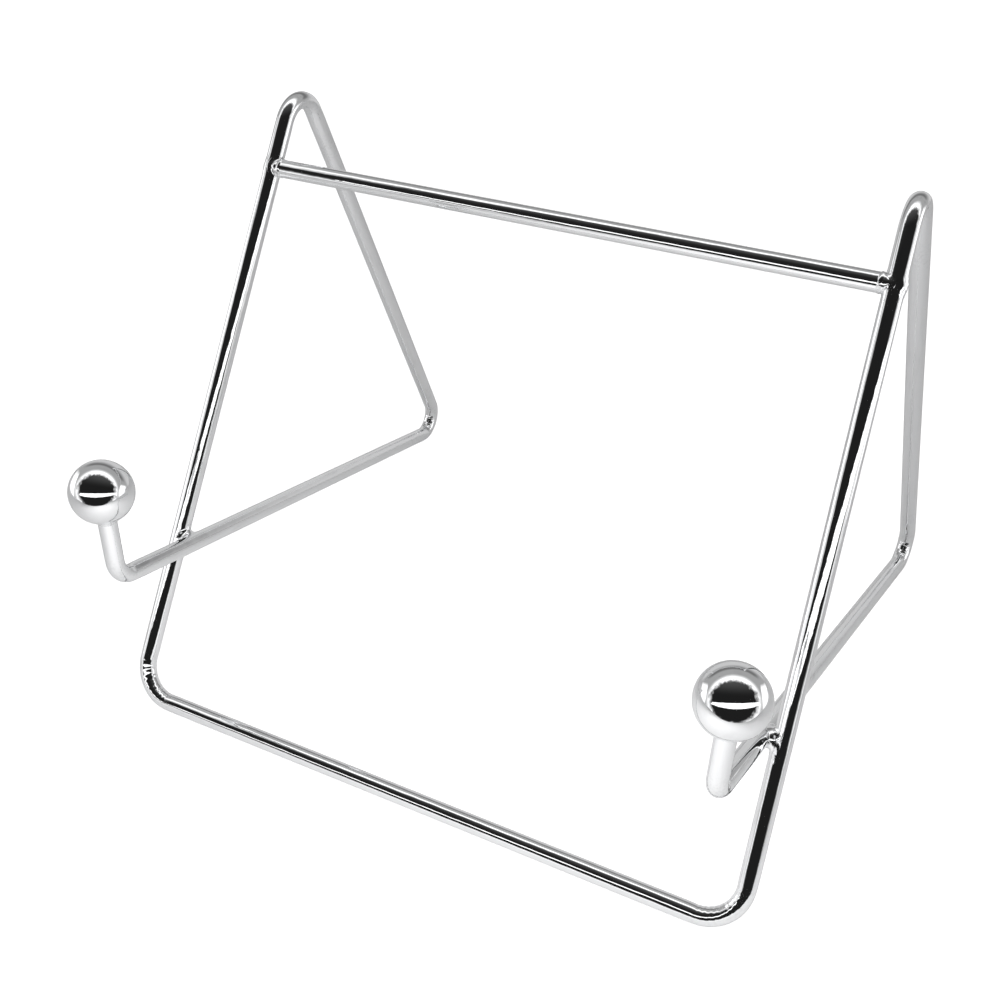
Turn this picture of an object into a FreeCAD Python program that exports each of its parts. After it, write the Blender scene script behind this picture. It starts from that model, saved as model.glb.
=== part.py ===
import FreeCAD, Part
import math
import os
import Sketcher

# A wire easel for a photo album, in millimetres: +Z up, +X to the right as seen from the front,
# -Y towards the person in front. The origin is on the table, in the middle of the footprint.
# One round wire is bent into the whole frame: it runs from the left ball down a post, back along
# the left arm to the rear foot, up the rear leg, over the apex, down the front leg, along the
# bottom rail and back to the right ball the same way. A straight bar is welded across the front
# legs, each arm is welded to the leg it passes, and a ball closes each end of the wire.

Vector = FreeCAD.Vector
SHEET_NAME = "sizes"
FOOT_STEPS = 12

# Name, value in millimetres or degrees, and what it sets.
DIMENSIONS = (
    ("wire_diameter", 6.0, "round wire of the frame and of the cross bar"),
    ("rail_width", 218.0, "bottom rail, between the centre lines of the front legs"),
    ("leg_length", 219.0, "front leg, from the rail's centre line to the apex corner"),
    ("leg_lean", 58.2, "front leg, degrees up from the table"),
    ("leg_taper", 6.0, "how far each front leg leans inwards from rail to apex"),
    ("rear_flare", 1.5, "how far each rear foot stands outside the rail's end"),
    ("foot_reach", 213.7, "rear foot corner behind the rail"),
    ("arm_rise", 15.9, "arm, degrees up from the table towards the front"),
    ("ledge_reach", 8.1, "front corner of each arm ahead of the rail"),
    ("post_length", 31.6, "front corner of each arm to the middle of its ball"),
    ("post_lean", 2.9, "post, degrees back from upright"),
    ("post_splay", 1.0, "how far each ball stands outside its arm's front corner"),
    ("rail_bend", 12.5, "bend radius at the rail's ends, on the wire's centre line"),
    ("apex_bend", 9.5, "bend radius at the apex"),
    ("foot_bend", 8.0, "bend radius at the rear foot"),
    ("ledge_bend", 8.0, "bend radius at the arm's front corner"),
    ("arm_gap", 0.2, "clear gap where an arm passes the inner side of its leg"),
    ("arm_bead", 3.4, "radius of the weld bead between arm and leg"),
    ("bar_drop", 32.5, "cross bar down the front leg from the apex corner"),
    ("bar_bite", 1.0, "how far each end of the bar is set into its leg by welding"),
    ("bar_bead", 3.9, "radius of the weld bead round the end of the bar"),
    ("bead_step", 0.8, "middle of that bead inside the leg's surface"),
    ("spot_radius", 2.4, "raised weld spot on the outer side of the leg"),
    ("spot_height", 0.6, "how far the weld spot stands out"),
    ("ball_diameter", 20.0, "polished ball on each end of the wire"),
    ("bore_play", 0.05, "gap round the wire in the ball's blind bore"),
    ("bore_gap", 1.0, "bore past the end of the wire"),
    ("braze_leg", 0.9, "width and height of the brazed ring under the ball"),
)


def make_sheet(document):
    """Write every driving dimension into a spreadsheet, one alias to a row."""
    sheet = document.addObject("Spreadsheet::Sheet", SHEET_NAME)
    for row, (alias, size, meaning) in enumerate(DIMENSIONS, start=1):
        sheet.set(f"A{row}", str(size))
        sheet.setAlias(f"A{row}", alias)
        sheet.set(f"B{row}", meaning)
    document.recompute()
    return sheet


class Sizes:
    """The sheet's dimensions as attributes, read straight from its cells."""

    def __init__(self, sheet):
        for alias, _, _ in DIMENSIONS:
            setattr(self, alias, float(sheet.get(alias)))
        self.wire_radius = self.wire_diameter / 2
        self.ball_radius = self.ball_diameter / 2


def cell(alias):
    """The expression that reads one cell of the sheet."""
    return f"<<{SHEET_NAME}>>.{alias}"


WIRE_RADIUS = f"{cell('wire_diameter')} / 2"
BALL_RADIUS = f"{cell('ball_diameter')} / 2"
BORE_RADIUS = f"{WIRE_RADIUS} + {cell('bore_play')}"


# ---- where the wire goes ---------------------------------------------------------------------


class Bend:
    """The arc that rounds one corner of the wire, between the corners before and after it."""

    def __init__(self, before, corner, after, radius):
        back = (before - corner).normalize()
        ahead = (after - corner).normalize()
        half = back.getAngle(ahead) / 2
        middle = (back + ahead).normalize()
        self.radius = radius
        self.centre = corner + middle * (radius / math.sin(half))
        self.start = corner + back * (radius / math.tan(half))
        self.end = corner + ahead * (radius / math.tan(half))
        self.summit = self.centre - middle * radius
        self.normal = back.cross(ahead).normalize()

    def farthest(self, direction):
        """How far the arc's full circle reaches along a unit direction."""
        across = self.normal.dot(direction)
        return self.centre.dot(direction) + self.radius * math.sqrt(1 - across * across)


def side_corners(size, side):
    """The corners of one half of the wire, rail end first; side is -1 left or +1 right."""
    lean = math.radians(size.leg_lean)
    rail = Vector(side * size.rail_width / 2, 0, size.wire_radius)
    leg_run = size.leg_length * math.cos(lean)
    leg_rise = size.leg_length * math.sin(lean)
    apex = rail + Vector(-side * size.leg_taper, leg_run, leg_rise)
    foot = Vector(side * (size.rail_width / 2 + size.rear_flare), size.foot_reach, 0)
    for _ in range(FOOT_STEPS):
        ledge = ledge_corner(size, side, rail, apex, foot)
        bend = Bend(apex, foot, ledge, size.foot_bend)
        lowest = -bend.farthest(Vector(0, 0, -1))
        foot.z += size.wire_radius - lowest
    ledge = ledge_corner(size, side, rail, apex, foot)
    tilt = math.radians(size.post_lean)
    post_run = size.post_length * math.sin(tilt)
    post_rise = size.post_length * math.cos(tilt)
    ball = ledge + Vector(side * size.post_splay, post_run, post_rise)
    return {"rail": rail, "apex": apex, "foot": foot, "ledge": ledge, "ball": ball}


def ledge_corner(size, side, rail, apex, foot):
    """The arm's front corner: the arm slopes up from the foot and just clears the leg's inner side."""
    reach = size.foot_reach + size.ledge_reach
    slope = math.tan(math.radians(size.arm_rise))
    leg = apex - rail
    up_leg = (foot.z + slope * foot.y - rail.z) / (leg.z + slope * leg.y)
    crossing = rail + leg * up_leg
    along_arm = (foot.y - crossing.y) / reach
    beside_leg = crossing.x - side * (size.wire_diameter + size.arm_gap)
    inwards = (beside_leg - foot.x) / along_arm
    return foot + Vector(inwards, -reach, slope * reach)


def nearest_points(start_one, way_one, start_two, way_two):
    """The points where two straight lines pass closest to each other."""
    normal = way_one.cross(way_two)
    between = start_two - start_one
    along_one = between.cross(way_two).dot(normal) / normal.dot(normal)
    along_two = between.cross(way_one).dot(normal) / normal.dot(normal)
    return start_one + way_one * along_one, start_two + way_two * along_two


class Layout:
    """Every corner of the wire, moved so that the footprint is centred on the origin."""

    def __init__(self, size):
        self.size = size
        self.left = side_corners(size, -1)
        self.right = side_corners(size, 1)
        foot_bend = Bend(self.right["apex"], self.right["foot"], self.right["ledge"], size.foot_bend)
        rearmost = foot_bend.farthest(Vector(0, 1, 0)) + size.wire_radius
        foremost = self.right["ball"].y - size.ball_radius
        shift = Vector(0, -(rearmost + foremost) / 2, 0)
        for corners in (self.left, self.right):
            for name in corners:
                corners[name] = corners[name] + shift

    def corner_list(self):
        """The wire's corners from ball to ball, and the bend radius at each."""
        size = self.size
        order = ("ball", "ledge", "foot", "apex", "rail")
        radii = [0, size.ledge_bend, size.foot_bend, size.apex_bend, size.rail_bend]
        points = [self.left[name] for name in order]
        points += [self.right[name] for name in reversed(order)]
        return points, radii + radii[::-1]

    def bar_point(self, corners):
        """Where the cross bar's axis meets a front leg's axis."""
        down_leg = (corners["rail"] - corners["apex"]).normalize()
        return corners["apex"] + down_leg * self.size.bar_drop

    def arm_contact(self, corners):
        """The middle of the narrow gap where an arm passes its front leg."""
        on_leg, on_arm = nearest_points(
            corners["rail"], corners["apex"] - corners["rail"],
            corners["foot"], corners["ledge"] - corners["foot"])
        return (on_leg + on_arm) * 0.5


# ---- small helpers ---------------------------------------------------------------------------


def turned_to(direction, base):
    """A placement at base whose own Z axis points along direction."""
    return FreeCAD.Placement(base, FreeCAD.Rotation(Vector(0, 0, 1), direction))


def plane_of(body, role):
    """One of a body's own origin planes, found by its role."""
    return next(item for item in body.Origin.OriginFeatures if item.Role == role)


def new_sketch(body, name, role):
    """An empty sketch attached to one of the body's origin planes."""
    sketch = body.newObject("Sketcher::SketchObject", name)
    sketch.AttachmentSupport = (plane_of(body, role), [""])
    sketch.MapMode = "FlatFace"
    return sketch


def straight(sketch, start, end):
    """Draw a straight line between two points of a sketch, each given as (across, up)."""
    return sketch.addGeometry(Part.LineSegment(Vector(*start, 0), Vector(*end, 0)))


def bind(sketch, name, what, length, expression):
    """Add a sized constraint to a sketch, name it and drive it from the sheet."""
    index = sketch.addConstraint(Sketcher.Constraint(*what, length))
    sketch.renameConstraint(index, name)
    sketch.setExpression(f"Constraints.{name}", expression)


def sphere(document, name, radius_expression, centre):
    """A sphere whose radius the sheet drives, its poles to the left and right."""
    item = document.addObject("Part::Sphere", name)
    item.setExpression("Radius", radius_expression)
    item.Placement = turned_to(Vector(1, 0, 0), centre)
    return item


def cut(document, label, base, tool):
    """The base solid with the tool's solid taken away."""
    item = document.addObject("Part::Cut", label)
    item.Base = base
    item.Tool = tool
    item.Label = label
    return item


# ---- the pieces ------------------------------------------------------------------------------


def frame_wire(document, layout):
    """The bent wire, with the raised weld spots on the outer side of its front legs."""
    size = layout.size
    points, radii = layout.corner_list()
    edges = []
    here = points[0]
    for before, corner, after, radius in zip(points, points[1:], points[2:], radii[1:]):
        bend = Bend(before, corner, after, radius)
        edges.append(Part.LineSegment(here, bend.start).toShape())
        edges.append(Part.Arc(bend.start, bend.summit, bend.end).toShape())
        here = bend.end
    edges.append(Part.LineSegment(here, points[-1]).toShape())

    centre_line = document.addObject("Part::Feature", "centre_line")
    centre_line.Shape = Part.Wire(edges)
    section = document.addObject("Part::Circle", "wire_section")
    section.setExpression("Radius", WIRE_RADIUS)
    section.Placement = turned_to(points[1] - points[0], points[0])
    sweep = document.addObject("Part::Sweep", "bent_wire")
    sweep.Sections = [section]
    sweep.Spine = (centre_line, [f"Edge{index + 1}" for index in range(len(edges))])
    sweep.Solid = True
    sweep.Frenet = False

    spots = []
    for name, side, corners in (("left", -1, layout.left), ("right", 1, layout.right)):
        outwards = Vector(side * (size.wire_radius + size.spot_height - size.spot_radius), 0, 0)
        centre = layout.bar_point(corners) + outwards
        spots.append(sphere(document, f"weld_spot_{name}", cell("spot_radius"), centre))
    wire = document.addObject("Part::MultiFuse", "frame_wire")
    wire.Shapes = [sweep] + spots
    wire.Label = "frame_wire"
    return wire


def bar_length_expression():
    """The bar's length: the gap between the front legs where it sits, and a bite into each."""
    hypotenuse = f"sqrt({cell('leg_length')} ^ 2 + {cell('leg_taper')} ^ 2)"
    inset = f"{cell('leg_taper')} * (1 - {cell('bar_drop')} / {hypotenuse})"
    return f"{cell('rail_width')} - 2 * {inset} - {cell('wire_diameter')} + 2 * {cell('bar_bite')}"


def cross_bar(document, layout, wire):
    """The straight bar between the front legs, its flat ends set a little into them."""
    body = document.addObject("PartDesign::Body", "bar_blank")
    sketch = new_sketch(body, "bar_section", "YZ_Plane")
    circle = sketch.addGeometry(Part.Circle(Vector(0, 0, 0), Vector(0, 0, 1), layout.size.wire_radius))
    sketch.addConstraint(Sketcher.Constraint("Coincident", circle, 3, -1, 1))
    bind(sketch, "bar_diameter", ("Diameter", circle), layout.size.wire_diameter, cell("wire_diameter"))
    pad = body.newObject("PartDesign::Pad", "bar_length")
    pad.Profile = sketch
    pad.Midplane = True
    pad.setExpression("Length", bar_length_expression())
    middle = layout.bar_point(layout.right)
    body.Placement = FreeCAD.Placement(Vector(0, middle.y, middle.z), FreeCAD.Rotation())
    return cut(document, "cross_bar", body, wire)


def cross_bar_weld(document, layout, side_name, side, wire, bar):
    """The bead of weld metal round one end of the cross bar."""
    size = layout.size
    corners = layout.left if side < 0 else layout.right
    inwards = Vector(-side * (size.wire_radius - size.bead_step), 0, 0)
    centre = layout.bar_point(corners) + inwards
    bead = sphere(document, f"bar_bead_{side_name}", cell("bar_bead"), centre)
    open_to_wire = cut(document, f"bar_bead_on_wire_{side_name}", bead, wire)
    return cut(document, f"cross_bar_weld_{side_name}", open_to_wire, bar)


def arm_weld(document, layout, side_name, side, wire):
    """The bead of weld metal between one arm and the leg it passes."""
    corners = layout.left if side < 0 else layout.right
    bead = sphere(document, f"arm_bead_{side_name}", cell("arm_bead"), layout.arm_contact(corners))
    return cut(document, f"arm_weld_{side_name}", bead, wire)


def post_placement(corners):
    """At the middle of a ball, with Z up along its post."""
    return turned_to(corners["ball"] - corners["ledge"], corners["ball"])


def ball(document, layout, side_name, side):
    """One polished ball with the blind bore that takes the wire's end."""
    size = layout.size
    bore = size.wire_radius + size.bore_play
    mouth = -math.sqrt(size.ball_radius ** 2 - bore ** 2)
    body = document.addObject("PartDesign::Body", f"ball_{side_name}")
    body.Label = f"ball_{side_name}"
    sketch = new_sketch(body, f"ball_profile_{side_name}", "XZ_Plane")
    circle = Part.Circle(Vector(0, 0, 0), Vector(0, 0, 1), size.ball_radius)
    skin = sketch.addGeometry(Part.ArcOfCircle(circle, math.atan2(mouth, bore), math.pi / 2))
    axis = straight(sketch, (0, size.ball_radius), (0, size.bore_gap))
    floor = straight(sketch, (0, size.bore_gap), (bore, size.bore_gap))
    wall = straight(sketch, (bore, size.bore_gap), (bore, mouth))
    for constraint in (
            Sketcher.Constraint("Coincident", skin, 3, -1, 1),
            Sketcher.Constraint("Coincident", skin, 2, axis, 1),
            Sketcher.Constraint("Coincident", axis, 2, floor, 1),
            Sketcher.Constraint("Coincident", floor, 2, wall, 1),
            Sketcher.Constraint("Coincident", wall, 2, skin, 1),
            Sketcher.Constraint("PointOnObject", axis, 1, -2),
            Sketcher.Constraint("Vertical", axis),
            Sketcher.Constraint("Horizontal", floor),
            Sketcher.Constraint("Vertical", wall)):
        sketch.addConstraint(constraint)
    bind(sketch, "skin_radius", ("Radius", skin), size.ball_radius, BALL_RADIUS)
    bind(sketch, "bore_radius", ("DistanceX", -1, 1, floor, 2), bore, BORE_RADIUS)
    bind(sketch, "bore_floor", ("DistanceY", -1, 1, floor, 2), size.bore_gap, cell("bore_gap"))
    spin_profile(body, sketch, f"ball_turning_{side_name}")
    corners = layout.left if side < 0 else layout.right
    body.Placement = post_placement(corners)
    return body


def ball_braze(document, layout, side_name, side):
    """The brazed ring that closes the joint between a ball and its post."""
    size = layout.size
    inner = size.wire_radius
    outer = inner + size.braze_leg
    top_inner = -math.sqrt(size.ball_radius ** 2 - inner ** 2)
    top_outer = -math.sqrt(size.ball_radius ** 2 - outer ** 2)
    foot = top_inner - size.braze_leg
    body = document.addObject("PartDesign::Body", f"ball_braze_{side_name}")
    body.Label = f"ball_braze_{side_name}"
    sketch = new_sketch(body, f"braze_profile_{side_name}", "XZ_Plane")
    circle = Part.Circle(Vector(0, 0, 0), Vector(0, 0, 1), size.ball_radius)
    seat = sketch.addGeometry(
        Part.ArcOfCircle(circle, math.atan2(top_inner, inner), math.atan2(top_outer, outer)))
    slope = straight(sketch, (outer, top_outer), (inner, foot))
    wall = straight(sketch, (inner, foot), (inner, top_inner))
    for constraint in (
            Sketcher.Constraint("Coincident", seat, 3, -1, 1),
            Sketcher.Constraint("Coincident", seat, 2, slope, 1),
            Sketcher.Constraint("Coincident", slope, 2, wall, 1),
            Sketcher.Constraint("Coincident", wall, 2, seat, 1),
            Sketcher.Constraint("Vertical", wall)):
        sketch.addConstraint(constraint)
    bind(sketch, "seat_radius", ("Radius", seat), size.ball_radius, BALL_RADIUS)
    bind(sketch, "inner_radius", ("DistanceX", -1, 1, wall, 1), inner, WIRE_RADIUS)
    bind(sketch, "ring_width", ("DistanceX", wall, 1, slope, 1), size.braze_leg, cell("braze_leg"))
    bind(sketch, "ring_height", ("DistanceY", wall, 1, wall, 2), size.braze_leg, cell("braze_leg"))
    spin_profile(body, sketch, f"braze_turning_{side_name}")
    corners = layout.left if side < 0 else layout.right
    body.Placement = post_placement(corners)
    return body


def spin_profile(body, sketch, name):
    """Turn a sketched half profile once round the body's upright axis."""
    turning = body.newObject("PartDesign::Revolution", name)
    turning.Profile = sketch
    turning.ReferenceAxis = (sketch, ["V_Axis"])
    turning.Angle = 360
    return turning


# ---- build, check and write ------------------------------------------------------------------


def build(document):
    """Make every piece; the list holds one object for each node."""
    layout = Layout(Sizes(make_sheet(document)))
    wire = frame_wire(document, layout)
    bar = cross_bar(document, layout, wire)
    nodes = [wire, bar]
    for side_name, side in (("left", -1), ("right", 1)):
        nodes.append(ball(document, layout, side_name, side))
        nodes.append(ball_braze(document, layout, side_name, side))
        nodes.append(cross_bar_weld(document, layout, side_name, side, wire, bar))
        nodes.append(arm_weld(document, layout, side_name, side, wire))
    return nodes


def check(document, nodes):
    """Stop with a message if any object failed or any piece is not one sound solid."""
    for item in document.Objects:
        if "Invalid" in item.State or "Error" in item.State:
            raise RuntimeError(f"{item.Label} did not build: {item.State}")
    for node in nodes:
        if node.Shape.isNull() or not node.Shape.isValid():
            raise RuntimeError(f"{node.Label} has no sound shape")
        if len(node.Shape.Solids) != 1:
            raise RuntimeError(f"{node.Label} is {len(node.Shape.Solids)} solids, not one")


def main():
    """Build the stand and write each piece to its own STEP file."""
    document = FreeCAD.newDocument("photo_album_stand")
    nodes = build(document)
    document.recompute()
    check(document, nodes)
    os.makedirs("parts", exist_ok=True)
    for node in nodes:
        node.Shape.exportStep(f"parts/{node.Label}.step")
        print(f"{node.Label}: {node.Shape.Volume:.1f} cubic millimetres")


main()
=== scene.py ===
"""A photo album stand bent from one chrome-plated wire, dressed for a soft studio.

Lengths are in metres, apart from the heights in the finishes, which are in millimetres. The
stand's and the studio's angles are given in degrees, and all other angles are in radians. +Z is
up, -Y is the front, and the origin is on the table in the middle of the stand's footprint.
"""

import logging
import math
from dataclasses import dataclass, field
from enum import Enum
from typing import Iterable

import bmesh
import bpy
import numpy as np
from mathutils import Matrix, Vector, noise


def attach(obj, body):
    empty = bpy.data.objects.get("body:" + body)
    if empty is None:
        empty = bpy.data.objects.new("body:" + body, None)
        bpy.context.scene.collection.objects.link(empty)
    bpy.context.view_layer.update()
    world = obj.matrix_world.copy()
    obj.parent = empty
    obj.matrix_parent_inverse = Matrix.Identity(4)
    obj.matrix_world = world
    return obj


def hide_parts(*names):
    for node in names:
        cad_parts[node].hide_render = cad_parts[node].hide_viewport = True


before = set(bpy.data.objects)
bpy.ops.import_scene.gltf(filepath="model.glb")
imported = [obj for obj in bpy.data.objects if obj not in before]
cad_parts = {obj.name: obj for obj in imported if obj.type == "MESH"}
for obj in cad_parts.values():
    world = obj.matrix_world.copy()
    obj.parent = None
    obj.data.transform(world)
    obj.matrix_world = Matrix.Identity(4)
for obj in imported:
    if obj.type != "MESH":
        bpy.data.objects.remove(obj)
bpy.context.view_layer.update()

log = logging.getLogger("album_stand")

BODY = "root"
MM = 0.001
X_AXIS = Vector((1.0, 0.0, 0.0))
Z_AXIS = Vector((0.0, 0.0, 1.0))
PLACE = "wire_place"
WORKED = "worked"
WHITE = (1.0, 1.0, 1.0, 1.0)
SAME_PLACE = 1e-7
POLE_GAP = 2e-6

Pair = tuple[float, float]
Triple = tuple[float, float, float]
Socket = bpy.types.NodeSocket


class Side(Enum):
    """The two halves of the stand; the value is the sign of X."""

    LEFT = -1
    RIGHT = 1

    @property
    def word(self) -> str:
        """The side's name as it stands in node names."""
        return self.name.lower()


class Slot(Enum):
    """The material slots of the record."""

    WIRE = "plated_wire"
    BALL = "plated_ball"
    WELD = "plated_weld"


# ---- where the wire goes ---------------------------------------------------------------------


@dataclass(frozen=True)
class StandSizes:
    """The stand's driving sizes."""

    wire_diameter: float = 6.0 * MM
    rail_width: float = 218.0 * MM
    leg_length: float = 219.0 * MM
    leg_lean: float = 58.2
    leg_taper: float = 6.0 * MM
    rear_flare: float = 1.5 * MM
    foot_reach: float = 213.7 * MM
    arm_rise: float = 15.9
    ledge_reach: float = 8.1 * MM
    post_length: float = 31.6 * MM
    post_lean: float = 2.9
    post_splay: float = 1.0 * MM
    rail_bend: float = 12.5 * MM
    apex_bend: float = 9.5 * MM
    foot_bend: float = 8.0 * MM
    ledge_bend: float = 8.0 * MM
    arm_gap: float = 0.2 * MM
    bar_drop: float = 32.5 * MM
    ball_diameter: float = 20.0 * MM
    bore_play: float = 0.05 * MM
    bore_gap: float = 1.0 * MM
    braze_leg: float = 0.9 * MM

    @property
    def wire_radius(self) -> float:
        """Half the wire's diameter."""
        return self.wire_diameter / 2

    @property
    def ball_radius(self) -> float:
        """Half the ball's diameter."""
        return self.ball_diameter / 2


@dataclass(frozen=True)
class Corner:
    """One corner of the wire's centre line, and the bend radius that rounds it."""

    name: str
    point: Vector
    radius: float = 0.0


class Bend:
    """The arc that rounds one corner of the wire."""

    def __init__(self, before: Vector, corner: Corner, after: Vector) -> None:
        """Work the arc out.

        Args:
            before: the corner before this one.
            corner: the corner that is rounded.
            after: the corner after this one.
        """
        back = (before - corner.point).normalized()
        ahead = (after - corner.point).normalized()
        half = back.angle(ahead) / 2
        middle = (back + ahead).normalized()
        self.name = corner.name
        self.radius = corner.radius
        self.centre = corner.point + middle * (corner.radius / math.sin(half))
        self.start = corner.point + back * (corner.radius / math.tan(half))
        self.end = corner.point + ahead * (corner.radius / math.tan(half))
        self.turn = math.pi - 2 * half
        self.axis = ahead.cross(back).normalized()
        self.inwards = middle

    def farthest(self, direction: Vector) -> float:
        """How far the arc's full circle reaches along a unit direction."""
        across = self.axis.dot(direction)
        return self.centre.dot(direction) + self.radius * math.sqrt(1 - across * across)


class WireRoute:
    """Every corner of the wire, from the left ball round to the right one."""

    FOOT_CORRECTIONS = 12

    def __init__(self, sizes: StandSizes) -> None:
        """Work the corners out and centre the footprint on the origin.

        Args:
            sizes: the stand's driving sizes.
        """
        self.sizes = sizes
        self.sides = {side: self._side(side) for side in Side}
        right = self.sides[Side.RIGHT]
        foot = self._foot_bend(right["apex"], right["foot"], right["ledge"])
        rearmost = foot.farthest(Vector((0, 1, 0))) + sizes.wire_radius
        foremost = right["ball"].y - sizes.ball_radius
        for points in self.sides.values():
            for point in points.values():
                point.y -= (rearmost + foremost) / 2

    def _foot_bend(self, apex: Vector, foot: Vector, ledge: Vector) -> Bend:
        """The bend at a foot, between a rear leg and an arm."""
        return Bend(apex, Corner("foot", foot, self.sizes.foot_bend), ledge)

    def _side(self, side: Side) -> dict[str, Vector]:
        """Find the corners of one half of the wire, before the footprint is centred.

        The foot's height is corrected step by step so that its bend rests on the table.

        Args:
            side: which half.

        Returns:
            The corners by name: rail, apex, foot, ledge and ball.
        """
        sizes = self.sizes
        lean = math.radians(sizes.leg_lean)
        tilt = math.radians(sizes.post_lean)
        rail = Vector((side.value * sizes.rail_width / 2, 0, sizes.wire_radius))
        up_leg = Vector((0, sizes.leg_length * math.cos(lean), sizes.leg_length * math.sin(lean)))
        apex = rail + up_leg - Vector((side.value * sizes.leg_taper, 0, 0))
        foot = Vector((side.value * (sizes.rail_width / 2 + sizes.rear_flare), sizes.foot_reach, 0))
        for _ in range(self.FOOT_CORRECTIONS):
            ledge = self._ledge(side, rail, apex, foot)
            bend = self._foot_bend(apex, foot, ledge)
            foot.z += sizes.wire_radius + bend.farthest(-Z_AXIS)
        ledge = self._ledge(side, rail, apex, foot)
        run = sizes.post_length * math.sin(tilt)
        rise = sizes.post_length * math.cos(tilt)
        ball = ledge + Vector((side.value * sizes.post_splay, run, rise))
        return {"rail": rail, "apex": apex, "foot": foot, "ledge": ledge, "ball": ball}

    def _ledge(self, side: Side, rail: Vector, apex: Vector, foot: Vector) -> Vector:
        """Place the arm's front corner so that the arm just clears its leg's inner side.

        Args:
            side: which half.
            rail: the front leg's corner at the rail.
            apex: the front leg's corner at the top.
            foot: the arm's rear corner.

        Returns:
            The corner's place.
        """
        sizes = self.sizes
        reach = sizes.foot_reach + sizes.ledge_reach
        slope = math.tan(math.radians(sizes.arm_rise))
        leg = apex - rail
        up_leg = (foot.z + slope * foot.y - rail.z) / (leg.z + slope * leg.y)
        crossing = rail + leg * up_leg
        along_arm = (foot.y - crossing.y) / reach
        beside_leg = crossing.x - side.value * (sizes.wire_diameter + sizes.arm_gap)
        return foot + Vector(((beside_leg - foot.x) / along_arm, -reach, slope * reach))

    def corners(self) -> list[Corner]:
        """List the corners in the order of the wire, with their bend radii.

        Returns:
            The corners from the left ball to the right one.
        """
        sizes = self.sizes
        radii = {
            "ball": 0.0,
            "ledge": sizes.ledge_bend,
            "foot": sizes.foot_bend,
            "apex": sizes.apex_bend,
            "rail": sizes.rail_bend,
        }
        left, right = (
            [Corner(name, self.sides[side][name], radii[name]) for name in radii] for side in Side
        )
        return left + right[::-1]

    def leg_way(self, side: Side) -> Vector:
        """The unit direction up a front leg."""
        points = self.sides[side]
        return (points["apex"] - points["rail"]).normalized()

    def arm_way(self, side: Side) -> Vector:
        """The unit direction along an arm towards the front."""
        points = self.sides[side]
        return (points["ledge"] - points["foot"]).normalized()

    def post_way(self, side: Side) -> Vector:
        """The unit direction up a post, from the arm's front corner to the ball."""
        points = self.sides[side]
        return (points["ball"] - points["ledge"]).normalized()

    def bar_point(self, side: Side) -> Vector:
        """Where the cross bar's axis meets a front leg's axis."""
        return self.sides[side]["apex"] - self.leg_way(side) * self.sizes.bar_drop

    def arm_contact(self, side: Side) -> tuple[Vector, Vector]:
        """Find where a leg and its arm pass closest.

        Args:
            side: which half.

        Returns:
            The point on the leg's axis and the point on the arm's axis.
        """
        points = self.sides[side]
        leg = self.leg_way(side)
        arm = self.arm_way(side)
        normal = leg.cross(arm)
        between = points["foot"] - points["rail"]
        on_leg = points["rail"] + leg * (between.cross(arm).dot(normal) / normal.length_squared)
        on_arm = points["foot"] + arm * (between.cross(leg).dot(normal) / normal.length_squared)
        return on_leg, on_arm


# ---- shader maths and nodes ------------------------------------------------------------------


class Signal:
    """A number that flows through a node tree and takes part in ordinary arithmetic."""

    def __init__(self, graph: "Graph", socket: Socket) -> None:
        """Wrap one output socket of a graph."""
        self.graph = graph
        self.socket = socket

    def _math(self, operation: str, *values: "Signal | float") -> "Signal":
        """Add a Math node that works on the given values."""
        made = self.graph.node("ShaderNodeMath", {"operation": operation}, dict(enumerate(values)))
        return Signal(self.graph, made.outputs[0])

    def __add__(self, other: "Signal | float") -> "Signal":
        """self + other"""
        return self._math("ADD", self, other)

    def __radd__(self, other: float) -> "Signal":
        """other + self"""
        return self._math("ADD", other, self)

    def __sub__(self, other: "Signal | float") -> "Signal":
        """self - other"""
        return self._math("SUBTRACT", self, other)

    def __rsub__(self, other: float) -> "Signal":
        """other - self"""
        return self._math("SUBTRACT", other, self)

    def __mul__(self, other: "Signal | float") -> "Signal":
        """self * other"""
        return self._math("MULTIPLY", self, other)

    def __rmul__(self, other: float) -> "Signal":
        """other * self"""
        return self._math("MULTIPLY", other, self)

    def __truediv__(self, other: "Signal | float") -> "Signal":
        """self / other"""
        return self._math("DIVIDE", self, other)

    def __pow__(self, other: "Signal | float") -> "Signal":
        """self ** other"""
        return self._math("POWER", self, other)

    def __abs__(self) -> "Signal":
        """abs(self)"""
        return self._math("ABSOLUTE", self)

    def least(self, other: "Signal | float") -> "Signal":
        """The smaller of the two."""
        return self._math("MINIMUM", self, other)

    def most(self, other: "Signal | float") -> "Signal":
        """The larger of the two."""
        return self._math("MAXIMUM", self, other)

    def rise(self, low: float, high: float) -> "Signal":
        """0 below low and 1 above high, with a smooth step between."""
        made = self.graph.node(
            "ShaderNodeMapRange",
            {"interpolation_type": "SMOOTHSTEP"},
            {"Value": self, "From Min": low, "From Max": high},
        )
        return Signal(self.graph, made.outputs[0])

    def fall(self, low: float, high: float) -> "Signal":
        """1 below low and 0 above high, with a smooth step between."""
        return 1 - self.rise(low, high)


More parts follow.
